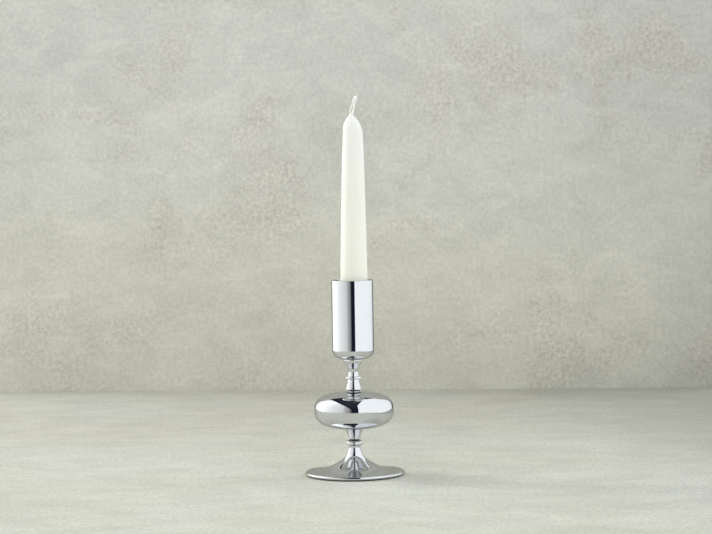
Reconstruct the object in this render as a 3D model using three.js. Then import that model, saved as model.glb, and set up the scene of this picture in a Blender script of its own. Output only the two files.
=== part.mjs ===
// Silver candlestick with a taper candle: turned and spun pieces, clamped together by one tie rod.
// Millimetres, +Z up. The origin is the centre of the felt pad's underside, where it rests on the table.
// Every outline is a list of [radius, height] points.

import * as THREE from 'three';

// ---- Clearances and mesh fineness ----

const GAP = 0.3; // between pieces that rest on each other
const LARGE_ROUND = 32; // sides of a large turned piece
const SMALL_ROUND = 20; // sides of a small one

// ---- Driving dimensions ----

const FOOT_RADIUS = 40;
const FELT_RADIUS = 37;
const FELT_THICKNESS = 1;
const FOOT_WALL = 0.9;
const FOOT_EDGE_RADIUS = 1.25; // half the thickness of the foot's rounded edge
const FOOT_EDGE_BOTTOM = 0.8; // the edge clears the table, because the felt stands proud of it
const FOOT_TOP_HEIGHT = 23.6;
const STEM_RADIUS = 4.8; // of the trumpet's straight end

const WEIGHT_RADIUS = 36;
const WEIGHT_BOSS_RADIUS = 9;
const NUT_POCKET_RADIUS = 8.2;
const NUT_POCKET_ROOF = 8.1;

const ROD_RADIUS = 2.5;
const ROD_HOLE_RADIUS = ROD_RADIUS + GAP;
const NUT_ACROSS_FLATS = 8;
const BASE_NUT_HEIGHT = 3.2;
const CUP_NUT_HEIGHT = 3;
const LOCK_WASHER_RADIUS = 4.5;
const LOCK_WASHER_THICKNESS = 1.2;
const LOCK_WASHER_SPLIT_DEG = 8;
const WASHER_THICKNESS = 1;
const BASE_WASHER_RADIUS = 7.5;
const BULB_WASHER_RADIUS = 8;
const CUP_WASHER_RADIUS = 7;

const LOWER_COLLAR_RADIUS = 7;
const LOWER_COLLAR_HEIGHT = 4.2;
const GROOVE_RADIUS = 3.8; // of the groove between the lower collar and the neck's lip
const GROOVE_HEIGHT = 0.5;
const NECK_LIP_RADIUS = 5.5;
const NECK_LIP_HEIGHT = 1;
const NECK_LIP_EDGE = 0.2;
const LOWER_NECK_TOP = 37;

const BULB_RADIUS = 32;
const BULB_BELOW_SEAM = 15.4;
const BULB_ABOVE_SEAM = 14.7;
const BULB_EXPONENT = 2.7; // 2 would be an ellipse; more makes the bulb fuller
const BULB_WALL = 1;
const SPACER_RADIUS = 4.2;

const SPOOL_UNDERCUT_RADIUS = 4.5;
const SPOOL_LIP_RADIUS = 6.6;
const SPOOL_LIP_EDGE = 0.5; // radius of the lip's rounded edge
const SPOOL_LIP_RISE = 1.8; // from the bulb to the middle of that edge
const SPOOL_TOP = 77.1;
const UPPER_COLLAR_RADIUS = 6.6;
const UPPER_COLLAR_HEIGHT = 2.4;
const CONE_LIP_RADIUS = 8.1;
const CONE_LIP_HEIGHT = 0.6;
const UPPER_CONE_TOP = 93.7;

const CUP_RADIUS = 16.8;
const CUP_WALL = 1.2;
const CUP_CORNER_RADIUS = 7.2;
const CUP_RIM = 157.3;
const RIM_BEVEL = 0.3;

const SOCKET_RADIUS = 14.2;
const SOCKET_BORE = 12.9;
const SOCKET_FLOOR = 105.5;
const SOCKET_BELOW_RIM = 10;
const SOCKET_FLANGE_HEIGHT = 1.5;
const SOCKET_CHAMFER = 1;
const SOCKET_MOUTH_BEVEL = 0.5;
const ROD_INTO_SOCKET = 3.8;

const CANDLE_BUTT_RADIUS = 11.05;
const CANDLE_BUTT_TOP = 151;
const CANDLE_TOP = 288.6;
const CANDLE_OFFSET = 1.25; // the candle stands a little to +X of the cup's axis
const CANDLE_LEAN_DEG = 0.35; // and leans a little the same way
const CANDLE_BUTT_BEVEL = 0.5;
const TIP_SHIFT = -1.1; // its pointed tip sits to -X of the candle's own middle line
const TIP_SHIFT_START = 274;
const WICK_RADIUS = 1.6;
const WICK_TIP = 304.3;

// ---- Heights worked out from them ----

const LOWER_COLLAR_BOTTOM = FOOT_TOP_HEIGHT + GAP;
const LOWER_NECK_BOTTOM = LOWER_COLLAR_BOTTOM + LOWER_COLLAR_HEIGHT + GAP;
const BULB_BOTTOM = LOWER_NECK_TOP + GAP;
const BULB_CENTRE = BULB_BOTTOM + BULB_BELOW_SEAM;
const BULB_TOP = BULB_CENTRE + BULB_ABOVE_SEAM;
const SPOOL_BOTTOM = BULB_TOP + GAP;
const UPPER_COLLAR_BOTTOM = SPOOL_TOP + GAP;
const UPPER_CONE_BOTTOM = UPPER_COLLAR_BOTTOM + UPPER_COLLAR_HEIGHT + GAP;
const CUP_BOTTOM = UPPER_CONE_TOP + GAP;
const CUP_WASHER_BOTTOM = CUP_BOTTOM + CUP_WALL + GAP;
const CUP_NUT_BOTTOM = CUP_WASHER_BOTTOM + WASHER_THICKNESS + GAP;
const SOCKET_BOTTOM = CUP_NUT_BOTTOM + CUP_NUT_HEIGHT + GAP;
const SOCKET_TOP = CUP_RIM - SOCKET_BELOW_RIM;
const ROD_TOP = SOCKET_BOTTOM + ROD_INTO_SOCKET;
const FELT_TOP = FELT_THICKNESS + GAP;
const BASE_WASHER_BOTTOM = NUT_POCKET_ROOF - GAP - WASHER_THICKNESS;
const LOCK_WASHER_BOTTOM = BASE_WASHER_BOTTOM - GAP - LOCK_WASHER_THICKNESS;
const BASE_NUT_BOTTOM = LOCK_WASHER_BOTTOM - GAP - BASE_NUT_HEIGHT;
const ROD_BOTTOM = FELT_TOP + GAP;
const CANDLE_BOTTOM = SOCKET_FLOOR + GAP;

// The foot's top surface, from just inside its edge to the start of the straight stem.
const FOOT_TOP = [
  [37.6, 3.4],
  [33, 4],
  [26, 5],
  [21, 6.3],
  [16.2, 9],
  [12.7, 10.9],
  [10, 12.6],
  [8, 14.3],
  [6.8, 15.9],
  [5.6, 18.4],
  [STEM_RADIUS, 21.6],
];
const FOOT_HOLLOW_POINTS = 8; // the hollow below follows this many of them

// The lower neck's cone, from its lip up to the bulb.
const LOWER_CONE = [
  [4.35, 30.4],
  [4.65, 31.2],
  [5.55, 33],
  [6.5, 34.9],
  [7.5, LOWER_NECK_TOP],
];

// The spool's body, from its lip up to the upper collar.
const SPOOL_BODY = [
  [6, 71.3],
  [5.3, 73.3],
  [4.7, 75.1],
  [4.4, SPOOL_TOP],
];

// The upper cone, from the upper collar up to its lip.
const UPPER_CONE = [
  [4.4, UPPER_CONE_BOTTOM],
  [4.15, 82.3],
  [4.35, 83.8],
  [4.95, 85.5],
  [5.75, 87.3],
  [6.55, 89.1],
  [7.25, 90.8],
  [7.8, 92.4],
];

// The candle's outside above its butt, up to where the wick comes out.
const CANDLE_TAPER = [
  [10.7, 165],
  [9.85, 205],
  [8.9, 253],
];
const CANDLE_SHOULDER = [
  [8.35, 261],
  [8.05, 269],
  [7.7, 277],
  [6.85, 281.2],
  [4.8, 285.2],
  [3.2, 287.6],
  [2.4, CANDLE_TOP],
];

// The wick's middle line above the wax, as [x, height]. It bends to +X at its free tip.
const WICK_BEND = [
  [-0.3, CANDLE_TOP + 1],
  [0.5, CANDLE_TOP + 5],
  [1.8, CANDLE_TOP + 10],
  [3.3, WICK_TIP - 2],
  [3.9, WICK_TIP - 0.5],
];

// ---- Materials ----

const chrome = () => new THREE.MeshStandardMaterial({ color: 0xc9ccd1, roughness: 0.06, metalness: 1 });
const steel = () => new THREE.MeshStandardMaterial({ color: 0x9a9c9e, roughness: 0.35, metalness: 1 });
const iron = () => new THREE.MeshStandardMaterial({ color: 0x3b3b3d, roughness: 0.75, metalness: 0.6 });
const felt = () => new THREE.MeshStandardMaterial({ color: 0x232427, roughness: 0.95, metalness: 0 });
const wax = () => new THREE.MeshStandardMaterial({ color: 0xebece0, roughness: 0.45, metalness: 0 });
const cotton = () => new THREE.MeshStandardMaterial({ color: 0xe6e2cf, roughness: 0.7, metalness: 0 });

// ---- Outline helpers ----

// Points on a round corner. At 0 degrees they lie outwards from its centre, and at 90 above it.
function arc(centreR, centreZ, radius, fromDeg, toDeg, steps) {
  const points = [];
  for (let i = 0; i <= steps; i += 1) {
    const angle = THREE.MathUtils.degToRad(fromDeg + ((toDeg - fromDeg) * i) / steps);
    points.push([centreR + radius * Math.cos(angle), centreZ + radius * Math.sin(angle)]);
  }
  return points;
}

// Points on a smooth curve through the given ones.
function smooth(points, steps) {
  const curve = new THREE.SplineCurve(points.map(([r, z]) => new THREE.Vector2(r, z)));
  return curve.getPoints(steps).map(({ x, y }) => [x, y]);
}

const lowered = (points, drop) => points.map(([r, z]) => [r, z - drop]);
const reversed = (points) => [...points].reverse();

// Turns an outline about the Z axis. The outline runs up the outside and down the inside.
function turned(outline, sides) {
  const points = outline.map(([r, z]) => new THREE.Vector2(r, z));
  points.push(points[0].clone());
  return new THREE.LatheGeometry(points, sides).rotateX(Math.PI / 2);
}

// A plain ring with square edges.
const ring = (inner, outer, bottom, top) => [
  [inner, bottom],
  [outer, bottom],
  [outer, top],
  [inner, top],
];

// ---- Foot ----

function feltPad() {
  const disc = [
    [0, 0],
    [FELT_RADIUS, 0],
    [FELT_RADIUS, FELT_THICKNESS],
    [0, FELT_THICKNESS],
  ];
  return turned(disc, LARGE_ROUND);
}

function footShell() {
  const edgeR = FOOT_RADIUS - FOOT_EDGE_RADIUS;
  const edgeZ = FOOT_EDGE_BOTTOM + FOOT_EDGE_RADIUS;
  const hollow = lowered(FOOT_TOP.slice(0, FOOT_HOLLOW_POINTS), FOOT_WALL);
  const [hollowR] = hollow[0];
  const roofZ = hollow[FOOT_HOLLOW_POINTS - 1][1];
  return turned(
    [
      [hollowR, FOOT_EDGE_BOTTOM],
      ...arc(edgeR, edgeZ, FOOT_EDGE_RADIUS, -90, 60, 5),
      ...smooth(FOOT_TOP, 17),
      [STEM_RADIUS, FOOT_TOP_HEIGHT],
      [ROD_HOLE_RADIUS, FOOT_TOP_HEIGHT],
      [ROD_HOLE_RADIUS, roofZ],
      ...reversed(hollow),
    ],
    LARGE_ROUND,
  );
}

// Fills the hollow of the spun foot, and holds the nut in a pocket on its underside.
function baseWeight() {
  const covered = FOOT_TOP.filter(([r]) => r < WEIGHT_RADIUS && r > WEIGHT_BOSS_RADIUS);
  const below = lowered(covered, FOOT_WALL + GAP);
  const rimZ = below[0][1];
  const bossZ = below[below.length - 1][1];
  return turned(
    [
      [NUT_POCKET_RADIUS, FELT_TOP],
      [WEIGHT_RADIUS, FELT_TOP],
      [WEIGHT_RADIUS, FELT_TOP + (rimZ - FELT_TOP) / 2],
      ...below,
      [ROD_HOLE_RADIUS, bossZ],
      [ROD_HOLE_RADIUS, NUT_POCKET_ROOF],
      [NUT_POCKET_RADIUS, NUT_POCKET_ROOF],
    ],
    SMALL_ROUND,
  );
}

// ---- Fasteners ----

function washer(radius, bottom) {
  return turned(ring(ROD_HOLE_RADIUS, radius, bottom, bottom + WASHER_THICKNESS), SMALL_ROUND);
}

// A spring washer: a square-edged ring with a radial split.
function lockWasher() {
  const split = THREE.MathUtils.degToRad(LOCK_WASHER_SPLIT_DEG);
  const shape = new THREE.Shape();
  shape.absarc(0, 0, LOCK_WASHER_RADIUS, split, Math.PI * 2, false);
  shape.absarc(0, 0, ROD_HOLE_RADIUS, Math.PI * 2, split, true);
  return extruded(shape, LOCK_WASHER_BOTTOM, LOCK_WASHER_THICKNESS);
}

function nut(bottom, height) {
  const shape = new THREE.Shape();
  const cornerRadius = NUT_ACROSS_FLATS / Math.sqrt(3);
  for (let i = 0; i < 6; i += 1) {
    const angle = (i * Math.PI) / 3;
    const corner = [cornerRadius * Math.cos(angle), cornerRadius * Math.sin(angle)];
    if (i === 0) shape.moveTo(...corner);
    else shape.lineTo(...corner);
  }
  shape.closePath();
  const hole = new THREE.Path();
  hole.absarc(0, 0, ROD_HOLE_RADIUS, 0, Math.PI * 2, true);
  shape.holes.push(hole);
  return extruded(shape, bottom, height);
}

function extruded(shape, bottom, height) {
  const options = { depth: height, bevelEnabled: false, curveSegments: SMALL_ROUND / 2 };
  return new THREE.ExtrudeGeometry(shape, options).translate(0, 0, bottom);
}

function tieRod() {
  const chamfer = 0.5;
  return turned(
    [
      [0, ROD_BOTTOM],
      [ROD_RADIUS - chamfer, ROD_BOTTOM],
      [ROD_RADIUS, ROD_BOTTOM + chamfer],
      [ROD_RADIUS, ROD_TOP - chamfer],
      [ROD_RADIUS - chamfer, ROD_TOP],
      [0, ROD_TOP],
    ],
    SMALL_ROUND,
  );
}

// ---- Stem below the bulb ----

function lowerCollar() {
  const bead = LOWER_COLLAR_HEIGHT / 2;
  const middle = LOWER_COLLAR_BOTTOM + bead;
  return turned(
    [
      [ROD_HOLE_RADIUS, LOWER_COLLAR_BOTTOM],
      ...arc(LOWER_COLLAR_RADIUS - bead, middle, bead, -90, 90, 8),
      [ROD_HOLE_RADIUS, LOWER_COLLAR_BOTTOM + LOWER_COLLAR_HEIGHT],
    ],
    SMALL_ROUND,
  );
}

// A groove and a thin lip, and above them an inverted cone that opens towards the bulb.
function lowerNeck() {
  const lipBottom = LOWER_NECK_BOTTOM + GROOVE_HEIGHT;
  const lipTop = lipBottom + NECK_LIP_HEIGHT;
  return turned(
    [
      [ROD_HOLE_RADIUS, LOWER_NECK_BOTTOM],
      [GROOVE_RADIUS, LOWER_NECK_BOTTOM],
      [GROOVE_RADIUS, lipBottom],
      [NECK_LIP_RADIUS - NECK_LIP_EDGE, lipBottom],
      [NECK_LIP_RADIUS, lipBottom + NECK_LIP_EDGE],
      [NECK_LIP_RADIUS, lipTop - NECK_LIP_EDGE],
      [NECK_LIP_RADIUS - NECK_LIP_EDGE, lipTop],
      ...smooth(LOWER_CONE, 7),
      [ROD_HOLE_RADIUS, LOWER_NECK_TOP],
    ],
    SMALL_ROUND,
  );
}

// ---- Bulb ----

// A quarter of a full, flattened round, from its widest line (0 degrees) to the rod hole near its pole.
// The side is 1 for the upper half and -1 for the lower half.
function bulbQuarter(radius, height, side, steps) {
  const power = 2 / BULB_EXPONENT;
  const poleAngle = Math.acos((ROD_HOLE_RADIUS / radius) ** (1 / power));
  const points = [];
  for (let i = 0; i <= steps; i += 1) {
    const angle = (poleAngle * i) / steps;
    const rise = height * Math.sin(angle) ** power;
    points.push([radius * Math.cos(angle) ** power, BULB_CENTRE + side * rise]);
  }
  return points;
}

function bulbShell(side) {
  const height = side > 0 ? BULB_ABOVE_SEAM : BULB_BELOW_SEAM;
  const outside = bulbQuarter(BULB_RADIUS, height, side, 10);
  const inside = bulbQuarter(BULB_RADIUS - BULB_WALL, height - BULB_WALL, side, 5);
  const seamZ = BULB_CENTRE + (side * GAP) / 2;
  outside[0][1] = seamZ;
  inside[0][1] = seamZ;
  const outline = [...outside, ...reversed(inside)];
  return turned(side > 0 ? outline : reversed(outline), LARGE_ROUND);
}

function bulbSpacer() {
  const inset = BULB_WALL + GAP + WASHER_THICKNESS + GAP;
  return turned(ring(ROD_HOLE_RADIUS, SPACER_RADIUS, BULB_BOTTOM + inset, BULB_TOP - inset), SMALL_ROUND);
}

// ---- Stem above the bulb ----

// A small flared foot with an undercut below it, drawn in towards the upper collar.
function upperSpool() {
  const edgeZ = SPOOL_BOTTOM + SPOOL_LIP_RISE;
  return turned(
    [
      [ROD_HOLE_RADIUS, SPOOL_BOTTOM],
      [SPOOL_UNDERCUT_RADIUS, SPOOL_BOTTOM],
      [SPOOL_UNDERCUT_RADIUS, edgeZ - SPOOL_LIP_EDGE],
      ...arc(SPOOL_LIP_RADIUS - SPOOL_LIP_EDGE, edgeZ, SPOOL_LIP_EDGE, -70, 60, 4),
      ...smooth(SPOOL_BODY, 6),
      [ROD_HOLE_RADIUS, SPOOL_TOP],
    ],
    SMALL_ROUND,
  );
}

function upperCollar() {
  const corner = 0.7;
  const top = UPPER_COLLAR_BOTTOM + UPPER_COLLAR_HEIGHT;
  const cornerR = UPPER_COLLAR_RADIUS - corner;
  return turned(
    [
      [ROD_HOLE_RADIUS, UPPER_COLLAR_BOTTOM],
      ...arc(cornerR, UPPER_COLLAR_BOTTOM + corner, corner, -90, 0, 3),
      ...arc(cornerR, top - corner, corner, 0, 90, 3),
      [ROD_HOLE_RADIUS, top],
    ],
    SMALL_ROUND,
  );
}

// A waisted cone that opens towards the cup and ends in a lip.
function upperCone() {
  return turned(
    [
      [ROD_HOLE_RADIUS, UPPER_CONE_BOTTOM],
      ...smooth(UPPER_CONE, 10),
      [CONE_LIP_RADIUS, UPPER_CONE_TOP - CONE_LIP_HEIGHT],
      [CONE_LIP_RADIUS, UPPER_CONE_TOP],
      [ROD_HOLE_RADIUS, UPPER_CONE_TOP],
    ],
    SMALL_ROUND,
  );
}

// ---- Cup and socket ----

function cupShell() {
  const innerRadius = CUP_RADIUS - CUP_WALL;
  const cornerR = CUP_RADIUS - CUP_CORNER_RADIUS;
  const cornerZ = CUP_BOTTOM + CUP_CORNER_RADIUS;
  return turned(
    [
      [ROD_HOLE_RADIUS, CUP_BOTTOM],
      ...arc(cornerR, cornerZ, CUP_CORNER_RADIUS, -90, 0, 7),
      [CUP_RADIUS, CUP_RIM - RIM_BEVEL],
      [CUP_RADIUS - RIM_BEVEL, CUP_RIM],
      [innerRadius + RIM_BEVEL, CUP_RIM],
      [innerRadius, CUP_RIM - RIM_BEVEL],
      ...arc(cornerR, cornerZ, CUP_CORNER_RADIUS - CUP_WALL, 0, -90, 4),
      [ROD_HOLE_RADIUS, CUP_BOTTOM + CUP_WALL],
    ],
    LARGE_ROUND,
  );
}

// The insert that holds the candle. It is screwed on the end of the rod, and its flange centres it.
function candleSocket() {
  const flangeRadius = CUP_RADIUS - CUP_WALL - GAP;
  const flangeZ = SOCKET_TOP - SOCKET_FLANGE_HEIGHT;
  const tappedTop = ROD_TOP + GAP;
  return turned(
    [
      [ROD_HOLE_RADIUS, SOCKET_BOTTOM],
      [SOCKET_RADIUS - SOCKET_CHAMFER, SOCKET_BOTTOM],
      [SOCKET_RADIUS, SOCKET_BOTTOM + SOCKET_CHAMFER],
      [SOCKET_RADIUS, flangeZ],
      [flangeRadius, flangeZ],
      [flangeRadius, SOCKET_TOP],
      [SOCKET_BORE + SOCKET_MOUTH_BEVEL, SOCKET_TOP],
      [SOCKET_BORE, SOCKET_TOP - SOCKET_MOUTH_BEVEL],
      [SOCKET_BORE, SOCKET_FLOOR],
      [0, SOCKET_FLOOR],
      [0, tappedTop],
      [ROD_HOLE_RADIUS, tappedTop],
    ],
    LARGE_ROUND,
  );
}

// ---- Candle ----

// Moves the tip of the candle, and the wick with it, sideways.
function tipShifted(geometry) {
  const position = geometry.getAttribute('position');
  for (let i = 0; i < position.count; i += 1) {
    const share = THREE.MathUtils.smoothstep(position.getZ(i), TIP_SHIFT_START, CANDLE_TOP);
    position.setX(i, position.getX(i) + TIP_SHIFT * share);
  }
  return geometry;
}

// A straight butt, a long even taper and a pointed shoulder, with a bore for the wick right through it.
function candle() {
  const bore = WICK_RADIUS + GAP;
  const boreSteps = 6;
  const boreWall = [];
  for (let i = 0; i <= boreSteps; i += 1) {
    boreWall.push([bore, CANDLE_TOP + ((TIP_SHIFT_START - CANDLE_TOP) * i) / boreSteps]);
  }
  const solid = turned(
    [
      [bore, CANDLE_BOTTOM],
      [CANDLE_BUTT_RADIUS - CANDLE_BUTT_BEVEL, CANDLE_BOTTOM],
      [CANDLE_BUTT_RADIUS, CANDLE_BOTTOM + CANDLE_BUTT_BEVEL],
      [CANDLE_BUTT_RADIUS, CANDLE_BUTT_TOP],
      ...CANDLE_TAPER,
      ...smooth(CANDLE_SHOULDER, 10),
      ...boreWall,
    ],
    SMALL_ROUND,
  );
  return tipShifted(solid);
}

// It runs the candle's full length, and leans over at its free tip.
function wick() {
  const straight = [CANDLE_BOTTOM, 200, TIP_SHIFT_START, CANDLE_TOP - 6, CANDLE_TOP - 2].map((z) => [0, z]);
  const line = [...straight, ...WICK_BEND].map(([x, z]) => new THREE.Vector3(x, 0, z));
  const section = new THREE.Shape();
  section.absarc(0, 0, WICK_RADIUS, 0, Math.PI * 2, false);
  const options = { steps: 60, curveSegments: 4, extrudePath: new THREE.CatmullRomCurve3(line) };
  return tipShifted(new THREE.ExtrudeGeometry(section, options));
}

// ---- Assembly ----

const candlestick = new THREE.Group();

function add(parent, name, geometry, material) {
  const mesh = new THREE.Mesh(geometry, material);
  mesh.name = name;
  parent.add(mesh);
}

add(candlestick, 'felt_pad', feltPad(), felt());
add(candlestick, 'foot_shell', footShell(), chrome());
add(candlestick, 'base_weight', baseWeight(), iron());
add(candlestick, 'base_washer', washer(BASE_WASHER_RADIUS, BASE_WASHER_BOTTOM), steel());
add(candlestick, 'lock_washer', lockWasher(), steel());
add(candlestick, 'base_nut', nut(BASE_NUT_BOTTOM, BASE_NUT_HEIGHT), steel());
add(candlestick, 'tie_rod', tieRod(), steel());
add(candlestick, 'lower_collar', lowerCollar(), chrome());
add(candlestick, 'lower_neck', lowerNeck(), chrome());
add(candlestick, 'bulb_lower_shell', bulbShell(-1), chrome());
add(candlestick, 'bulb_upper_shell', bulbShell(1), chrome());
add(candlestick, 'bulb_lower_washer', washer(BULB_WASHER_RADIUS, BULB_BOTTOM + BULB_WALL + GAP), steel());
add(
  candlestick,
  'bulb_upper_washer',
  washer(BULB_WASHER_RADIUS, BULB_TOP - BULB_WALL - GAP - WASHER_THICKNESS),
  steel(),
);
add(candlestick, 'bulb_spacer', bulbSpacer(), steel());
add(candlestick, 'upper_spool', upperSpool(), chrome());
add(candlestick, 'upper_collar', upperCollar(), chrome());
add(candlestick, 'upper_cone', upperCone(), chrome());
add(candlestick, 'cup_shell', cupShell(), chrome());
add(candlestick, 'cup_washer', washer(CUP_WASHER_RADIUS, CUP_WASHER_BOTTOM), steel());
add(candlestick, 'cup_nut', nut(CUP_NUT_BOTTOM, CUP_NUT_HEIGHT), steel());
add(candlestick, 'candle_socket', candleSocket(), chrome());

// The candle and its wick lean as one, about the middle of the candle's foot.
const taper = new THREE.Group();
taper.position.set(CANDLE_OFFSET, 0, CANDLE_BOTTOM);
taper.rotation.y = THREE.MathUtils.degToRad(CANDLE_LEAN_DEG);
candlestick.add(taper);
add(taper, 'candle', candle().translate(0, 0, -CANDLE_BOTTOM), wax());
add(taper, 'wick', wick().translate(0, 0, -CANDLE_BOTTOM), cotton());

export default candlestick;
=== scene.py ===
"""The looks of a silver candlestick and its taper candle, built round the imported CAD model.

Metres, +Z up. The origin is the middle of the felt's underside, where the candlestick stands on the table.
The camera looks along +Y. Outlines are lists of (radius, height) points in millimetres, up the outside of a
piece and down its inside.
"""

import math

import bpy
import numpy as np
from mathutils import Matrix, Vector, noise


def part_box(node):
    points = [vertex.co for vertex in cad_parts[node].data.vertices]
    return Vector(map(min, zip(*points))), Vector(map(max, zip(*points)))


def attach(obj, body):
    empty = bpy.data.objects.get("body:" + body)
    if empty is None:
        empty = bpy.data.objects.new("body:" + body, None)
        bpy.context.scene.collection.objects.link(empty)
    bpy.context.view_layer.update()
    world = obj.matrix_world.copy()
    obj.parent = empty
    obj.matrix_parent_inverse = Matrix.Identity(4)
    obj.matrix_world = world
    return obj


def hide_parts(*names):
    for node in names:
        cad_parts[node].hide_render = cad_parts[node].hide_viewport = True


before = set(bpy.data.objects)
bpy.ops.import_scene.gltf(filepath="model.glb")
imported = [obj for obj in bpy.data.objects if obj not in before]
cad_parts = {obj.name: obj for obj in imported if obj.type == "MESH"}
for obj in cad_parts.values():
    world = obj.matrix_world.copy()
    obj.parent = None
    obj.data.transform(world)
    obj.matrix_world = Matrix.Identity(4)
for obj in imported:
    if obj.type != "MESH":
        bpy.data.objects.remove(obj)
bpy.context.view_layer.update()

MM = 0.001
LARGE_SIDES = 256  # flats round a wide piece
SMALL_SIDES = 160  # flats round a piece of the narrow stem
SPACING = 0.9  # mm, the longest step along an outline
FINE_SPACING = 0.5  # mm, the same on the stem
SHARP = math.radians(24)  # outline corners that turn more than this are rounded off
STICK = "candlestick"
TAPER = "taper_candle"

ROD_HOLE = 2.8  # mm, radius of the hole through each turned piece for the tie rod
BUTT_RADIUS = 11.05  # mm, radius of the candle's butt
CANDLE_LEAN = math.radians(0.35)  # towards +X
TIP_LENGTH = 14.6  # mm of the candle that bends sideways under the wick
TIP_BEND = -1.1  # mm that the tip ends up beside the candle's middle line
WAX_RISE = 2.2  # mm that the wax runs up the wick, past the CAD candle


# ---- Outlines ----


def box_mm(node):
    """Radius, bottom and top of a CAD node that is turned about the Z axis, in millimetres."""
    low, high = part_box(node)
    return high.y / MM, low.z / MM, high.z / MM


def arc(centre, radius, start, end, steps):
    """Points on a round corner. 0 degrees lies outwards from its centre, and 90 above it."""
    angles = [math.radians(start + (end - start) * i / steps) for i in range(steps + 1)]
    return [(centre[0] + radius * math.cos(a), centre[1] + radius * math.sin(a)) for a in angles]


def flowing(control, per_span=10):
    """A cubic B-spline that starts at the first control point and ends at the last."""
    points = [control[0]] * 2 + list(control) + [control[-1]] * 2
    made = [control[0]]
    for i in range(len(points) - 3):
        a, b, c, d = (np.array(p, float) for p in points[i : i + 4])
        for step in range(1, per_span + 1):
            t = step / per_span
            inner = (3 * t**3 - 6 * t**2 + 4) * b + (-3 * t**3 + 3 * t**2 + 3 * t + 1) * c
            made.append(tuple(((1 - t) ** 3 * a + inner + t**3 * d) / 6))
    return made


def eased(outline, radius):
    """The closed outline with its sharp corners rounded off."""
    points = [Vector(p) for p in outline]
    made = []
    for i, point in enumerate(points):
        back, ahead = points[i - 1] - point, points[(i + 1) % len(points)] - point
        if point.x < 1e-6 or min(back.length, ahead.length) < 1e-6:
            made.append(point)
            continue
        turn = math.pi - back.angle(ahead)
        if turn < SHARP:
            made.append(point)
            continue
        reach = min(radius * math.tan(turn / 2), back.length * 0.4, ahead.length * 0.4)
        start, end = point + back.normalized() * reach, point + ahead.normalized() * reach
        # The first and last points lie on the straight parts, so that smooth shading leaves those flat.
        for t in (-0.35, 0, 0.25, 0.5, 0.75, 1, 1.35):
            s = min(max(t, 0), 1)
            on_arc = start * (1 - s) ** 2 + point * 2 * s * (1 - s) + end * s**2
            on_arc += back.normalized() * reach * (max(-t, 0)) + ahead.normalized() * reach * max(t - 1, 0)
            made.append(on_arc)
    return made


def dense(points, spacing):
    """The closed outline with no step longer than the spacing."""
    made = []
    for i, point in enumerate(points):
        ahead = points[(i + 1) % len(points)]
        steps = max(1, math.ceil((ahead - point).length / spacing))
        made += [point.lerp(ahead, k / steps) for k in range(steps)]
    return made


# ---- Meshes ----


def mesh_object(name, vertices, faces, material):
    """A smooth-shaded object with one material."""
    mesh = bpy.data.meshes.new(name)
    mesh.from_pydata(vertices, [], faces)
    mesh.polygons.foreach_set("use_smooth", [True] * len(mesh.polygons))
    mesh.materials.append(material)
    mesh.validate()
    piece = bpy.data.objects.new(name, mesh)
    bpy.context.scene.collection.objects.link(piece)
    return piece


def turned(name, outline, material, sides=LARGE_SIDES, ease=0.15, spacing=SPACING):
    """A closed solid turned about the Z axis."""
    profile = dense(eased(outline, ease), spacing)
    vertices, rings = [], []
    for point in profile:
        count = 1 if point.x < 1e-6 else sides
        rings.append([len(vertices) + k % count for k in range(sides)])
        for k in range(count):
            angle = 2 * math.pi * k / sides
            vertices.append((point.x * MM * math.cos(angle), point.x * MM * math.sin(angle), point.y * MM))
    faces = []
    for i, lower in enumerate(rings):
        upper = rings[(i + 1) % len(rings)]
        if lower[1] == lower[0] and upper[1] == upper[0]:
            continue
        for k in range(sides):
            j = (k + 1) % sides
            corners = [lower[k], lower[j], upper[j], upper[k]]
            faces.append(tuple(dict.fromkeys(corners)))
    return mesh_object(name, vertices, faces, material)


def turned_fine(name, outline, material, ease=0.05):
    """A turned piece of the narrow stem."""
    return turned(name, outline, material, SMALL_SIDES, ease, FINE_SPACING)


def swept(name, path, radii, material, sides=20, ply=0.0, twist=0.0):
    """A solid strand along a path of points in metres. Ply is how deep the lay of its yarns shows."""
    vertices, faces = [], []
    across = Vector((1, 0, 0))
    for i, point in enumerate(path):
        along = (path[min(i + 1, len(path) - 1)] - path[max(i - 1, 0)]).normalized()
        across = (across - along * across.dot(along)).normalized()
        beside = along.cross(across)
        for k in range(sides):
            angle = 2 * math.pi * k / sides
            grooved = 1 - ply * (0.5 + 0.5 * math.cos(3 * (angle - twist * i)))
            reach = radii[i] * grooved
            vertices.append(point + across * reach * math.cos(angle) + beside * reach * math.sin(angle))
    for i in range(len(path) - 1):
        for k in range(sides):
            j = (k + 1) % sides
            a, b = i * sides, (i + 1) * sides
            faces.append((a + k, a + j, b + j, b + k))
    last = (len(path) - 1) * sides
    faces.append(tuple(range(sides))[::-1])
    faces.append(tuple(range(last, last + sides)))
    return mesh_object(name, [tuple(v) for v in vertices], faces, material)


def reshape(piece, move):
    """Moves every vertex to where the function says."""
    for vertex in piece.data.vertices:
        vertex.co = move(vertex.co.copy())
    piece.data.update()
    return piece


def place(piece, body, slot, *nodes):
    """Hangs a piece on its body, in the stead of its CAD nodes."""
    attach(piece, body)
    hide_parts(*nodes)
    return piece


# ---- Material building blocks ----


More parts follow.
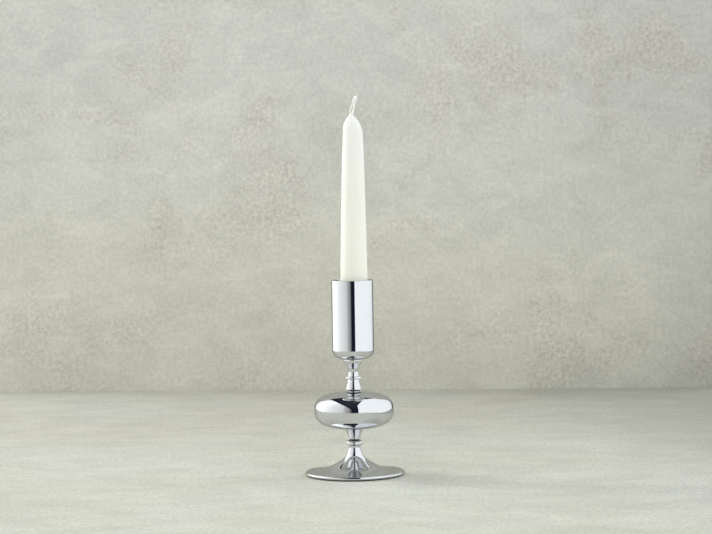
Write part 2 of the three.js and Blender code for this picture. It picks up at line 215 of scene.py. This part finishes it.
class Graph:
    """Builds a material's or a world's nodes."""

    def __init__(self, owner):
        owner.use_nodes = True
        self.tree = owner.node_tree
        self.tree.nodes.clear()

    def node(self, kind, inputs=None, **settings):
        made = self.tree.nodes.new(kind)
        for key, value in settings.items():
            setattr(made, key, value)
        for key, value in (inputs or {}).items():
            self.feed(made.inputs[key], value)
        return made

    def feed(self, socket, value):
        if isinstance(value, bpy.types.NodeSocket):
            self.tree.links.new(value, socket)
        else:
            socket.default_value = value

    def math(self, operation, a, b=0.0, clamp=False):
        made = self.node("ShaderNodeMath", {0: a, 1: b}, operation=operation)
        made.use_clamp = clamp
        return made.outputs[0]

    def smooth(self, value, low, high, out_low=0.0, out_high=1.0):
        """Eases from out_low to out_high as the value goes from low to high."""
        inputs = {"Value": value, "From Min": low, "From Max": high, "To Min": out_low, "To Max": out_high}
        return self.node("ShaderNodeMapRange", inputs, interpolation_type="SMOOTHSTEP").outputs[0]

    def linear(self, value, low, high, out_low=0.0, out_high=1.0):
        inputs = {"Value": value, "From Min": low, "From Max": high, "To Min": out_low, "To Max": out_high}
        return self.node("ShaderNodeMapRange", inputs).outputs[0]

    def place(self, scale=(1, 1, 1), turn=(0, 0, 0)):
        where = self.node("ShaderNodeTexCoord").outputs["Object"]
        return self.node("ShaderNodeMapping", {"Vector": where, "Scale": scale, "Rotation": turn}).outputs[0]

    def noise(self, vector, scale, detail=4.0, roughness=0.5, distortion=0.0):
        inputs = {"Vector": vector, "Scale": scale, "Detail": detail, "Roughness": roughness}
        inputs["Distortion"] = distortion
        return self.node("ShaderNodeTexNoise", inputs).outputs[0]

    def ramp(self, factor, stops, interpolation="LINEAR"):
        made = self.node("ShaderNodeValToRGB", {"Fac": factor})
        made.color_ramp.interpolation = interpolation
        elements = made.color_ramp.elements
        while len(elements) > 1:
            elements.remove(elements[-1])
        for i, (position, colour) in enumerate(stops):
            element = elements[0] if i == 0 else elements.new(position)
            element.position = position
            element.color = (*colour, 1.0)
        return made.outputs[0]

    def blend(self, factor, a, b, mode="MIX"):
        made = self.node("ShaderNodeMix", data_type="RGBA", blend_type=mode)
        for socket, value in ((made.inputs[0], factor), (made.inputs[6], a), (made.inputs[7], b)):
            self.feed(socket, (*value, 1.0) if isinstance(value, tuple) and len(value) == 3 else value)
        return made.outputs[2]

    def bump(self, height, strength, distance):
        inputs = {"Height": height, "Strength": strength, "Distance": distance}
        return self.node("ShaderNodeBump", inputs).outputs[0]

    def surface(self, inputs):
        shader = self.node("ShaderNodeBsdfPrincipled", inputs)
        output = self.node("ShaderNodeOutputMaterial")
        self.tree.links.new(shader.outputs[0], output.inputs["Surface"])


def new_material(name):
    material = bpy.data.materials.new(name)
    return material, Graph(material)


# ---- Materials ----


def polished_silver(name, edge):
    """Bright chrome with a faint wiping haze, polishing lines round the axis and a few hairline scratches.

    Edge is how much it reflects where it is seen at a grazing angle.
    """
    material, g = new_material(name)
    haze = g.noise(g.place(), 45, detail=3)
    fine = g.noise(g.place((1, 1, 14)), 420, detail=2)
    hair = g.noise(g.place((3, 1, 0.25), (0.4, 0.9, 0.2)), 900, detail=2, roughness=0.7)
    scratch = g.smooth(hair, 0.70, 0.76)
    rough = g.smooth(haze, 0.42, 0.72, 0.018, 0.05)
    rough = g.math("ADD", rough, g.math("MULTIPLY", scratch, 0.05))
    wave = g.noise(g.place(), 95, detail=1)
    relief = g.math("ADD", g.math("MULTIPLY", wave, 0.9), g.math("MULTIPLY", fine, 0.1))
    tone = g.ramp(haze, [(0.3, (0.70, 0.71, 0.725)), (0.7, (0.675, 0.685, 0.70))])
    g.surface(
        {
            "Base Color": tone,
            "Metallic": 1.0,
            "Specular Tint": (edge, edge * 1.007, edge * 1.02, 1.0),
            "Roughness": rough,
            "Normal": g.bump(relief, 0.12, 0.00002),
        }
    )
    return material


def painted_groove_shade():
    """Near-black silver colour that paints the shade in the bottom of a groove."""
    material, g = new_material("painted_groove_shade")
    cloud = g.noise(g.place(), 600, detail=4)
    tone = g.ramp(cloud, [(0.35, (0.030, 0.031, 0.036)), (0.65, (0.075, 0.075, 0.080))])
    g.surface(
        {
            "Base Color": tone,
            "Metallic": 0.6,
            "Roughness": g.linear(cloud, 0.3, 0.7, 0.35, 0.55),
            "Normal": g.bump(cloud, 0.3, 0.00005),
        }
    )
    return material


def socket_metal():
    """Turned aluminium with fine tool lines round its bore."""
    material, g = new_material("socket_metal")
    lines = g.noise(g.place((0.05, 0.05, 1)), 2600, detail=2)
    patch = g.noise(g.place(), 140, detail=4)
    tone = g.ramp(patch, [(0.35, (0.50, 0.51, 0.52)), (0.65, (0.60, 0.61, 0.62))])
    g.surface(
        {
            "Base Color": tone,
            "Metallic": 1.0,
            "Roughness": g.linear(lines, 0.3, 0.7, 0.22, 0.36),
            "Normal": g.bump(lines, 0.25, 0.00004),
        }
    )
    return material


def fastener_steel():
    """Zinc-plated steel: pale grey, a little blue and cloudy."""
    material, g = new_material("fastener_steel")
    cloud = g.noise(g.place(), 260, detail=5, distortion=0.6)
    tone = g.ramp(cloud, [(0.3, (0.36, 0.38, 0.41)), (0.7, (0.52, 0.53, 0.53))])
    g.surface(
        {
            "Base Color": tone,
            "Metallic": 1.0,
            "Roughness": g.linear(cloud, 0.3, 0.7, 0.3, 0.45),
            "Normal": g.bump(cloud, 0.2, 0.00005),
        }
    )
    return material


def cast_iron():
    """Dark painted casting with a sandy skin."""
    material, g = new_material("cast_iron")
    sand = g.noise(g.place(), 900, detail=5, roughness=0.6)
    patch = g.noise(g.place(), 70, detail=3)
    tone = g.ramp(patch, [(0.35, (0.030, 0.031, 0.033)), (0.7, (0.055, 0.053, 0.050))])
    g.surface(
        {
            "Base Color": tone,
            "Metallic": 0.3,
            "Roughness": g.linear(sand, 0.3, 0.7, 0.6, 0.85),
            "Normal": g.bump(sand, 0.5, 0.0003),
        }
    )
    return material


def felt():
    """Charcoal wool felt with a matted nap."""
    material, g = new_material("felt")
    nap = g.noise(g.place(), 1500, detail=6, roughness=0.7, distortion=1.2)
    patch = g.noise(g.place(), 120, detail=3)
    tone = g.ramp(patch, [(0.35, (0.012, 0.012, 0.014)), (0.65, (0.026, 0.026, 0.029))])
    tone = g.blend(g.smooth(nap, 0.55, 0.75), tone, (0.055, 0.055, 0.06))
    g.surface(
        {
            "Base Color": tone,
            "Roughness": g.linear(nap, 0.3, 0.7, 0.85, 1.0),
            "Sheen Weight": 0.5,
            "Normal": g.bump(nap, 0.8, 0.0003),
        }
    )
    return material


def candle_wax():
    """Ivory wax with the faint streaks of dipping, painted darker and yellower towards the butt as painted
    shade from the cup, and whiter towards the tip.
    """
    material, g = new_material("candle_wax")
    height = g.node("ShaderNodeSeparateXYZ", {0: g.place()}).outputs[2]
    foot, tip = (corner.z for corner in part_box("candle"))
    # Painted shade: the wax is darker and yellower low down, where the cup shades it, and whiter up the
    # taper.
    tone = g.ramp(
        g.linear(height, foot, tip),
        [
            (0.0, (0.92, 0.925, 0.78)),
            (0.35, (0.95, 0.955, 0.82)),
            (0.8, (0.965, 0.97, 0.875)),
            (1.0, (0.96, 0.96, 0.90)),
        ],
    )
    cloud = g.noise(g.place((1, 1, 0.35)), 60, detail=4)
    tone = g.blend(g.linear(cloud, 0.3, 0.7, 0.0, 0.2), tone, (0.92, 0.92, 0.87))
    dips = g.noise(g.place((0.4, 0.4, 1)), 220, detail=2)
    pores = g.noise(g.place(), 1400, detail=3)
    relief = g.math("ADD", dips, g.math("MULTIPLY", pores, 0.25))
    g.surface(
        {
            "Base Color": tone,
            "Roughness": g.linear(cloud, 0.3, 0.7, 0.42, 0.56),
            "IOR": 1.44,
            "Subsurface Weight": 0.5,
            "Subsurface Radius": (1.0, 0.85, 0.6),
            "Subsurface Scale": 0.003,
            "Normal": g.bump(relief, 0.25, 0.0001),
        }
    )
    return material


def wick_cotton():
    """Waxed cotton, yellower where the wax is thin."""
    material, g = new_material("wick_cotton")
    height = g.node("ShaderNodeSeparateXYZ", {0: g.place()}).outputs[2]
    low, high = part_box("candle")[1].z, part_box("wick")[1].z
    tone = g.ramp(
        g.linear(height, low, high),
        [
            (0.0, (0.97, 0.97, 0.92)),
            (0.35, (0.97, 0.97, 0.87)),
            (0.6, (0.97, 0.97, 0.87)),
            (0.75, (0.98, 0.98, 0.96)),
        ],
        "EASE",
    )
    fibre = g.noise(g.place((1, 1, 0.3)), 3200, detail=4, roughness=0.65)
    tone = g.blend(g.linear(fibre, 0.35, 0.7, 0.0, 0.4), tone, (0.96, 0.96, 0.91))
    g.surface(
        {
            "Base Color": tone,
            "Roughness": g.linear(fibre, 0.3, 0.7, 0.5, 0.75),
            "Subsurface Weight": 0.4,
            "Subsurface Radius": (1.0, 0.85, 0.6),
            "Subsurface Scale": 0.0015,
            "Normal": g.bump(fibre, 0.5, 0.00012),
        }
    )
    return material


# ---- Candlestick ----


def foot(silver):
    """Thin-edged, gently crowned foot that sweeps up into a trumpet."""
    radius, bottom, top = box_mm("foot_shell")
    edge, wall, stem, rim = 1.25, 0.9, 4.8, radius - 2.4
    crown = [(33.0, 3.2), (26.0, 4.2), (21.0, 5.45), (16.4, 7.9), (12.7, 10.05), (10.0, 11.8), (8.05, 13.55)]
    trumpet = [(6.75, 15.45), (5.6, 17.85), (4.95, 20.15)]
    sweep = [(r, bottom + z) for r, z in crown + trumpet]
    edge_round = arc((radius - edge, bottom + edge), edge, -90, 80, 18)
    outside = flowing([edge_round[-1], (rim, bottom + 2.63), *sweep, (stem, top - 1.2), (stem, top)])
    inside = [(r, z - wall) for r, z in flowing([(rim, bottom + 2.6), *sweep[:-3]], 4)]
    outline = [(rim, bottom), *edge_round[:-1], *outside, (ROD_HOLE, top), (ROD_HOLE, inside[-1][1])]
    return turned("foot_shell_turned", outline + inside[::-1], silver)


def lower_collar(silver):
    """Fat half-round ring, seated on the trumpet."""
    radius, bottom, top = box_mm("lower_collar")
    seat = box_mm("foot_shell")[2]
    bead = (top - bottom) / 2
    inner = radius - bead
    bulge = arc((inner, bottom + bead), bead, -88, 90, 28)
    outline = [(ROD_HOLE, seat), (inner, seat), *bulge, (ROD_HOLE, top)]
    return turned_fine("lower_collar_turned", outline, silver)


def lower_neck(silver):
    """Deep groove, a thin round lip, and above them an inverted cone that opens to the bulb."""
    radius, bottom, top = box_mm("lower_neck")
    seat = box_mm("lower_collar")[2]
    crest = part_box("bulb_lower_shell")[0].z / MM + 0.12
    groove, lip, bead, middle = 3.8, 5.5, 0.45, bottom + 1.25
    flare = [(4.6, 1.6), (4.35, 2.0), (4.65, 2.8), (5.55, 4.6), (6.5, 6.5)]
    cone = [*((r, bottom + z) for r, z in flare), (radius, top), (radius + 0.15, crest)]
    outline = [
        (ROD_HOLE, seat),
        (groove, seat),
        (groove, middle - bead),
        *arc((lip - bead, middle), bead, -90, 90, 12),
        *flowing(cone),
        (ROD_HOLE, crest),
    ]
    return turned_fine("lower_neck_turned", outline, silver)


def bulb_half(name, node, side, silver):
    """Half of the wide, flattened bulb. The two halves meet at its widest line in a hairline seam."""
    radius, low, high = box_mm(node)
    centre = (box_mm("bulb_lower_shell")[2] + box_mm("bulb_upper_shell")[1]) / 2
    height = high - centre if side > 0 else centre - low
    wall, fullness, seam, samples = 1.0, 2.7, 0.01, 1200

    def quarter(wide, tall, steps):
        """Evenly spaced points on a superellipse, from its widest line to the rod's hole."""
        power = 2 / fullness
        pole = math.acos((ROD_HOLE / wide) ** (1 / power))
        angles = [pole * i / samples for i in range(samples + 1)]
        fine = np.array([(wide * math.cos(a) ** power, tall * math.sin(a) ** power) for a in angles])
        run = np.concatenate([[0], np.cumsum(np.hypot(*np.diff(fine, axis=0).T))])
        even = np.linspace(0, run[-1], steps + 1)
        points = list(zip(np.interp(even, run, fine[:, 0]), np.interp(even, run, fine[:, 1])))
        return [(r, max(z, seam)) for r, z in points]

    outside = quarter(radius, height, 96)
    inside = quarter(radius - wall, height - wall, 40)
    outline = [(r, centre + side * z) for r, z in outside + inside[::-1]]
    return turned(name, outline if side > 0 else outline[::-1], silver, LARGE_SIDES, 0.03)


def groove_band(name, node, radius, depth, dark_ring_shade):
    """A dark ring of painted shade on the floor of a groove, between its bottom and its top."""
    bottom, top = depth
    outline = [(radius - 0.3, bottom), (radius, bottom), (radius, top), (radius - 0.3, top)]
    return place(turned_fine(name, outline, dark_ring_shade, 0.03), STICK, "polished_silver", node)


def groove_bands(dark_ring_shade):
    """Dark rings of painted shade in the grooves under the neck's lip and under the spool's."""
    neck, spool = box_mm("lower_neck")[1], box_mm("upper_spool")[1]
    groove_band("lower_neck_groove", "lower_neck", 4.15, (neck - 0.25, neck + 0.78), dark_ring_shade)
    groove_band("upper_spool_groove", "upper_spool", 4.8, (spool + 0.15, spool + 1.28), dark_ring_shade)


def upper_spool(silver):
    """Small flared spool with a deep undercut, standing on the bulb."""
    radius, bottom, top = box_mm("upper_spool")
    seat = box_mm("bulb_upper_shell")[2] - 0.04
    crest = box_mm("upper_collar")[1]
    undercut, bead, middle, waist = 4.5, 0.5, bottom + 1.8, 4.4
    body = [(6.28, 2.3), (6.05, 2.65), (5.95, 3.5), (5.35, 5.5), (4.75, 7.4), (4.45, 8.8)]
    outline = [
        (ROD_HOLE, seat),
        (undercut, seat),
        (undercut, middle - bead),
        *arc((radius - bead, middle), bead, -90, 55, 12),
        *flowing([*((r, bottom + z) for r, z in body), (waist, top), (waist, crest)]),
        (ROD_HOLE, crest),
    ]
    return turned_fine("upper_spool_turned", outline, silver)


def upper_collar(silver):
    """Thin ring with well rounded corners."""
    radius, bottom, top = box_mm("upper_collar")
    corner = 0.85
    inner = radius - corner
    outline = [
        (ROD_HOLE, bottom),
        *arc((inner, bottom + corner), corner, -90, 0, 12),
        *arc((inner, top - corner), corner, 0, 90, 12),
        (ROD_HOLE, top),
    ]
    return turned_fine("upper_collar_turned", outline, silver)


def upper_cone(silver):
    """Waisted cone that opens to the cup, with a lip under it."""
    radius, bottom, top = box_mm("upper_cone")
    seat = box_mm("upper_collar")[2]
    crest = box_mm("cup_shell")[1]
    lip = 0.3
    waist = [(4.3, 0.0), (4.0, 2.2), (3.95, 4.0), (4.4, 5.8)]
    flare = [(5.45, 7.6), (6.55, 9.4), (7.45, 11.0), (7.85, 12.3)]
    body = [(4.4, seat), *((r, bottom + z) for r, z in waist + flare), (7.8, top - 0.75)]
    outline = [
        (ROD_HOLE, seat),
        *flowing(body),
        *arc((radius - lip, top - lip), lip, -60, 60, 8),
        (radius - 0.2, crest),
        (ROD_HOLE, crest),
    ]
    return turned_fine("upper_cone_turned", outline, silver)


def cup(silver):
    """Tall thin-walled cup with a rounded bottom corner and an open rim."""
    radius, bottom, top = box_mm("cup_shell")
    wall, corner, rim = 1.2, 7.2, 0.35
    centre = (radius - corner, bottom + corner)
    outline = [
        (ROD_HOLE, bottom),
        *arc(centre, corner, -90, 0, 40),
        *arc((radius - rim, top - rim), rim, 0, 90, 8),
        *arc((radius - wall + rim, top - rim), rim, 90, 180, 8),
        *arc(centre, corner - wall, 0, -90, 20),
        (ROD_HOLE, bottom + wall),
    ]
    return turned("cup_shell_turned", outline, silver, LARGE_SIDES, 0.05)


def candle_socket(metal):
    """Turned insert in the cup, with a centring flange and a lead-in round its bore."""
    radius, bottom, top = box_mm("candle_socket")
    body, bore, floor = 14.2, 12.9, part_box("candle")[0].z / MM - 0.3
    flange, lead_in, recess = top - 1.5, 0.5, floor - 1.0
    outline = [
        (ROD_HOLE, bottom),
        (body, bottom),
        (body, flange),
        (radius, flange),
        (radius, top),
        (bore + lead_in, top),
        (bore, top - lead_in),
        (bore, floor),
        (0.0, floor),
        (0.0, recess),
        (ROD_HOLE, recess),
    ]
    return turned("candle_socket_turned", outline, metal, 192, 0.12)


def felt_pad(material):
    """Die-cut felt disc, a little soft at its edge and uneven in its nap."""
    radius, bottom, top = box_mm("felt_pad")
    edge = 0.35
    outline = [
        (0.0, bottom),
        (radius - edge, bottom),
        (radius, bottom + edge),
        (radius, top - edge),
        (radius - edge, top),
        (0.0, top),
    ]
    pad = turned("felt_pad_cut", outline, material, 160, 0.3, 1.2)

    def napped(point):
        """Moves the top face down and the bottom face up, so that the pad stays inside its thickness."""
        lump = noise.noise(point * 420) * 0.00006
        point.z += min(lump, 0) if point.z > 0.0005 else max(lump, 0)
        return point

    return reshape(pad, napped)


# ---- Candle ----


def taper_frame():
    """The candle's own frame: it stands a little off the cup's axis and leans a little to +X."""
    low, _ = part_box("candle")
    foot_x = low.x + BUTT_RADIUS * MM
    return Matrix.Translation((foot_x, 0, low.z)) @ Matrix.Rotation(CANDLE_LEAN, 4, "Y")


def tip_shift(height, length):
    """How far the pointed tip sits beside the candle's own middle line, in millimetres."""
    share = min(max((height - length) / TIP_LENGTH + 1, 0), 1)
    return TIP_BEND * share * share * (3 - 2 * share)


def candle(wax):
    """Straight butt, long even taper and a pointed shoulder that runs up the wick as a thin neck of wax."""
    low, high = (corner.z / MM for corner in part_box("candle"))
    length = high - low
    apex = length + WAX_RISE
    outside = [
        (BUTT_RADIUS, 0.0),
        (BUTT_RADIUS, 30.0),
        (BUTT_RADIUS, 45.2),
        (10.7, 59.2),
        (9.85, 99.2),
        (8.95, 147.2),
        (8.4, 155.2),
        (8.1, 163.2),
        (7.75, 170.2),
        (7.2, 174.4),
        (6.0, 177.4),
        (4.55, 179.7),
        (3.1, 181.7),
        (2.1, length),
        (1.3, length + 1.2),
        (1.0, apex),
    ]
    outline = [(0.0, 0.0), *flowing(outside), (0.7, apex), (0.0, apex)]
    piece = turned("candle_dipped", outline, wax, 128, 0.5, 0.8)
    standing = taper_frame()

    def uneven(point):
        """Bends the tip, makes the wax slightly uneven and stands the candle in its place."""
        point.x += tip_shift(point.z / MM, length) * MM
        share = min(point.z / 0.02, 1)
        wide = math.hypot(point.x, point.y)
        if wide > 1e-5:
            slow = noise.noise(Vector((point.x * 60, point.y * 60, point.z * 28))) * 0.00016
            quick = noise.noise(point * 190) * 0.00004
            grow = 1 + share * (slow + quick) * min(wide / 0.006, 1) / wide
            point.x, point.y = point.x * grow, point.y * grow
        return standing @ point

    return reshape(piece, uneven)


def wick_line(steps):
    """The middle line of the wick, from inside the wax to its free tip, in the candle's own frame."""
    length = (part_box("candle")[1].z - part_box("candle")[0].z) / MM
    control = [(-1.1, -3), (-1.2, -1.0), (-1.3, 1.2), (-0.7, 4.6), (0.35, 8.4), (1.3, 11.6), (2.6, 15.2)]
    line = flowing([(x, length + z) for x, z in control], steps)
    return [Vector((x * MM, 0, z * MM)) for x, z in line]


def wick(cotton):
    """Two waxed strands, apart in the middle and pressed together at the thick tip."""
    line = wick_line(9)
    last = len(line) - 1
    standing = taper_frame()
    tip_radius = 1.2
    strands = []
    for side, thin in ((-1, 0.62), (1, 0.85)):
        path, radii = [], []
        for i, point in enumerate(line):
            share = i / last
            apart = 0.5 + 0.77 * math.exp(-(((share - 0.5) / 0.15) ** 2))
            lay = math.radians(-15 + 160 * (share - 0.5) ** 3 * 8)
            shift = Vector((math.cos(lay), math.sin(lay), 0)) * side * apart * MM
            thick = thin + (tip_radius - thin) * min(max((share - 0.65) / 0.15, 0), 1)
            ends = min(1.0, 0.3 + 8 * (1 - share)) * min(1.0, 0.5 + 6 * share)
            path.append(standing @ (point + shift))
            radii.append(thick * ends * MM)
        strands.append(swept(f"wick_strand_{(side + 1) // 2}", path, radii, cotton, 18, 0.16, 0.32))
    return strands


# ---- Studio ----


def view_axes(position, target, roll):
    """The camera's right, up and forward directions, rolled so that the object leans left in the picture."""
    forward = (target - position).normalized()
    level = forward.cross(Vector((0, 0, 1))).normalized()
    upright = level.cross(forward)
    right = level * math.cos(roll) - upright * math.sin(roll)
    return right, right.cross(forward), forward


def camera():
    """A long lens in front of the object and a little above it, rolled slightly."""
    data = bpy.data.cameras.new("camera")
    data.sensor_width = 36.0
    data.lens = 131.46
    maker = bpy.data.objects.new("camera", data)
    bpy.context.scene.collection.objects.link(maker)
    aside, distance, height, aim_height, roll = 0.0033, 2.08, 0.292, 0.16755, math.radians(0.85)
    position, target = Vector((aside, -distance, height)), Vector((aside, 0, aim_height))
    right, up, forward = view_axes(position, target, roll)
    maker.matrix_world = Matrix.Translation(position) @ Matrix((right, up, -forward)).transposed().to_4x4()
    bpy.context.scene.camera = maker


def slab(name, low, high, material):
    """A flat-sided block of the stage, between two opposite corners."""
    corners = [(x, y, z) for x in (low[0], high[0]) for y in (low[1], high[1]) for z in (low[2], high[2])]
    faces = [(0, 1, 3, 2), (4, 6, 7, 5), (0, 4, 5, 1), (2, 3, 7, 6), (0, 2, 6, 4), (1, 5, 7, 3)]
    piece = mesh_object(name, corners, faces, material)
    piece.data.polygons.foreach_set("use_smooth", [False] * len(faces))
    return piece


def plaster():
    """Pale troweled plaster with rough, browner patches, its colour darkened by painted shade towards its
    right, its bottom and most of all its lower right.
    """
    material, g = new_material("plaster")
    where = g.place()
    x, _, z = g.node("ShaderNodeSeparateXYZ", {0: where}).outputs
    cloud = g.noise(where, 5.5, detail=5, roughness=0.55, distortion=0.4)
    trowel = g.noise(g.place((1, 1, 1.7), (0, 0.5, 0)), 24, detail=6, roughness=0.66, distortion=0.8)
    speck = g.noise(where, 240, detail=4, roughness=0.7)
    # Painted shade: the plaster is darker to the right and at the bottom.
    level = g.math("MULTIPLY", g.smooth(x, 0.14, 0.42, 1.05, 0.93), g.smooth(z, 0.0, 0.16, 0.94, 1.0))
    # Painted shade: darker still towards the lower right corner.
    level = g.math("MULTIPLY", level, g.smooth(g.math("SUBTRACT", x, z), 0.10, 0.42, 1.0, 0.86))
    level = g.math("MULTIPLY", level, g.linear(cloud, 0.3, 0.7, 0.94, 1.06))
    level = g.math("MULTIPLY", level, g.linear(trowel, 0.3, 0.7, 0.92, 1.08))
    rough = g.smooth(g.noise(where, 8, detail=6, roughness=0.7, distortion=0.5), 0.48, 0.66)
    grain = g.math("MULTIPLY", g.linear(speck, 0.3, 0.7, -0.1, 0.1), g.linear(rough, 0, 1, 1.0, 2.2))
    level = g.math("MULTIPLY", level, g.math("ADD", grain, g.linear(rough, 0, 1, 1.01, 0.955)))
    tone = g.blend(g.smooth(z, 0.05, 0.35), (0.69, 0.68, 0.59), (0.69, 0.68, 0.63))
    tone = g.blend(g.linear(rough, 0, 1, 0, 0.35), tone, (0.70, 0.665, 0.575))
    tone = g.blend(1.0, tone, level, "MULTIPLY")
    g.surface({"Base Color": tone, "Roughness": 0.9, "Normal": g.bump(trowel, 0.3, 0.0008)})
    return material


def table_top():
    """Pale, clouded and speckled limewashed top, with painted shade that darkens it towards the wall and
    most of all towards its far right corner.
    """
    material, g = new_material("table_top")
    x, y, _ = g.node("ShaderNodeSeparateXYZ", {0: g.place()}).outputs
    cloud = g.noise(g.place(), 5, detail=4)
    stroke = g.noise(g.place((1, 1.5, 1)), 17, detail=7, roughness=0.68, distortion=0.4)
    speck = g.noise(g.place((1, 0.5, 1)), 300, detail=3, roughness=0.7)
    # Painted shade: the top is darker towards the wall and into the far right corner.
    corner = g.math("ADD", x, g.math("MULTIPLY", y, 0.3))
    level = g.math("MULTIPLY", g.linear(y, 0.0, 0.40, 0.99, 0.88), g.smooth(corner, 0.2, 0.5, 1.0, 0.75))
    level = g.math("MULTIPLY", level, g.linear(cloud, 0.3, 0.7, 0.96, 1.04))
    level = g.math("MULTIPLY", level, g.linear(stroke, 0.3, 0.7, 0.90, 1.10))
    level = g.math("MULTIPLY", level, g.linear(speck, 0.3, 0.7, 0.88, 1.12))
    tone = g.blend(g.smooth(cloud, 0.45, 0.62), (0.598, 0.594, 0.505), (0.592, 0.597, 0.525))
    tone = g.blend(1.0, tone, level, "MULTIPLY")
    g.surface({"Base Color": tone, "Roughness": 0.75, "Normal": g.bump(stroke, 0.2, 0.0005)})
    return material


def lamp(name, position, target, size, power):
    """A round soft lamp that neither the camera nor the chrome sees. The chrome shows the panels."""
    data = bpy.data.lights.new(name, "AREA")
    data.shape = "DISK"
    data.size = size
    data.energy = power
    maker = bpy.data.objects.new(name, data)
    bpy.context.scene.collection.objects.link(maker)
    aim = (Vector(position) - Vector(target)).to_track_quat("Z", "Y")
    maker.matrix_world = Matrix.Translation(position) @ aim.to_matrix().to_4x4()
    maker.visible_glossy = False
    maker.visible_camera = False


def lamps():
    """A fill in front, a key far behind on the left for the soft shadow, and a weak one for the candle."""
    lamp("fill", (-0.5, -1.5, 1.3), (0, 0, 0.2), 0.9, 5.5)
    lamp("key", (-1.37, 0.74, 1.12), (0, 0, 0.05), 0.42, 9.5)
    lamp("candle_front", (0.05, -0.55, 0.24), (0, 0, 0.21), 0.25, 0.2)


def stage():
    """A pale table top, and a pale wall behind it whose right end stands a little nearer."""
    slab("table", (-0.65, -0.70, -0.03), (0.48, 0.72, 0.0), table_top())
    wall = slab("wall", (-0.5, 0.0, -0.02), (0.385, 0.02, 0.70), plaster())
    wall.matrix_world = Matrix.Translation((0, 0.64, 0)) @ Matrix.Rotation(math.radians(-4.26), 4, "Z")


def left_panel(g, x, z, degrees):
    """Where the left panel shows, and its light: brightest behind the object, dim towards the camera."""
    light = [
        (-180, 0.60),
        (-160, 0.71),
        (-148, 0.88),
        (-136, 2.2),
        (-104, 2.2),
        (-94, 1.38),
        (-65, 1.08),
        (-52, 1.0),
        (-41, 0.90),
        (-33, 0.86),
        (-29, 0.64),
        (-15, 0.38),
        (-8, 0.14),
        (-5, 0.03),
    ]
    stops = [((a + 180) / 360, (v * 0.985, v, v * 0.995)) for a, v in light]
    tone = g.ramp(g.math("DIVIDE", g.math("ADD", degrees, 180), 360), stops)
    top = g.math("ADD", z, g.math("MULTIPLY", x, 2.0))
    return g.math("MULTIPLY", g.smooth(top, 0.05, -0.05), g.smooth(degrees, -4.5, -8.5)), tone


def right_panel(g, x, z, degrees, steepness):
    """Where the right panel shows, and its even light. Its far end leans outwards with height."""
    top = g.math("SUBTRACT", z, g.math("MULTIPLY", x, 5.5))
    end = g.math("SUBTRACT", degrees, g.linear(steepness, 0, 50, 0, 17))
    mask = g.math("MULTIPLY", g.smooth(top, 0.05, -0.05), g.smooth(degrees, 12.4, 13.6))
    return g.math("MULTIPLY", mask, g.smooth(end, 145, 142)), (1.22, 1.26, 1.29)


def sky():
    """A soft studio as the object sees it: two tall diffuser panels, and dark cloth between them and above.

    A panel's place is its azimuth in degrees, 0 towards the camera and 90 to the right.
    """
    world = bpy.data.worlds.new("studio")
    bpy.context.scene.world = world
    g = Graph(world)
    ray = g.node("ShaderNodeTexCoord").outputs["Generated"]
    x, y, z = g.node("ShaderNodeSeparateXYZ", {0: ray}).outputs
    azimuth = g.math("ARCTAN2", x, g.math("MULTIPLY", y, -1))
    degrees = g.math("MULTIPLY", azimuth, 180 / math.pi)
    steepness = g.math("MULTIPLY", g.math("ARCSINE", z), 180 / math.pi)
    cloth = [(0.0, (0.012, 0.013, 0.027)), (0.6, (0.03, 0.032, 0.05)), (1.0, (0.04, 0.04, 0.05))]
    light = g.ramp(g.linear(steepness, 0, 90), cloth)
    for mask, tone in (left_panel(g, x, z, degrees), right_panel(g, x, z, degrees, steepness)):
        light = g.blend(mask, light, tone)
    light = g.blend(g.smooth(steepness, -10, -14), light, (0.55, 0.56, 0.50))
    shader = g.node("ShaderNodeBackground", {"Color": light, "Strength": 1.0})
    output = g.node("ShaderNodeOutputWorld")
    g.tree.links.new(shader.outputs[0], output.inputs["Surface"])


# ---- Assembly ----


def build():
    silver = polished_silver("polished_silver", 0.70)
    cup_silver = polished_silver("polished_silver_cup", 0.50)
    metal, wax, cotton = socket_metal(), candle_wax(), wick_cotton()
    place(felt_pad(felt()), STICK, "felt", "felt_pad")
    place(foot(silver), STICK, "polished_silver", "foot_shell")
    place(lower_collar(silver), STICK, "polished_silver", "lower_collar")
    place(lower_neck(silver), STICK, "polished_silver", "lower_neck")
    # The dark rings in the two grooves are painted shade.
    groove_bands(painted_groove_shade())
    for side, node in ((-1, "bulb_lower_shell"), (1, "bulb_upper_shell")):
        place(bulb_half(node + "_spun", node, side, silver), STICK, "polished_silver", node)
    place(upper_spool(silver), STICK, "polished_silver", "upper_spool")
    place(upper_collar(silver), STICK, "polished_silver", "upper_collar")
    place(upper_cone(silver), STICK, "polished_silver", "upper_cone")
    place(cup(cup_silver), STICK, "polished_silver", "cup_shell")
    place(candle_socket(metal), STICK, "socket_metal", "candle_socket")
    place(candle(wax), TAPER, "candle_wax", "candle")
    for strand in wick(cotton):
        place(strand, TAPER, "wick_cotton", "wick")
    finish_cad_nodes()


def finish_cad_nodes():
    """The inner pieces keep their CAD meshes and take finished materials."""
    steel, iron = fastener_steel(), cast_iron()
    for name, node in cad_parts.items():
        if node.hide_render:
            continue
        node.material_slots[0].material = iron if name == "base_weight" else steel


bpy.context.scene.view_settings.view_transform = "Standard"
camera()
sky()
lamps()
stage()
build()
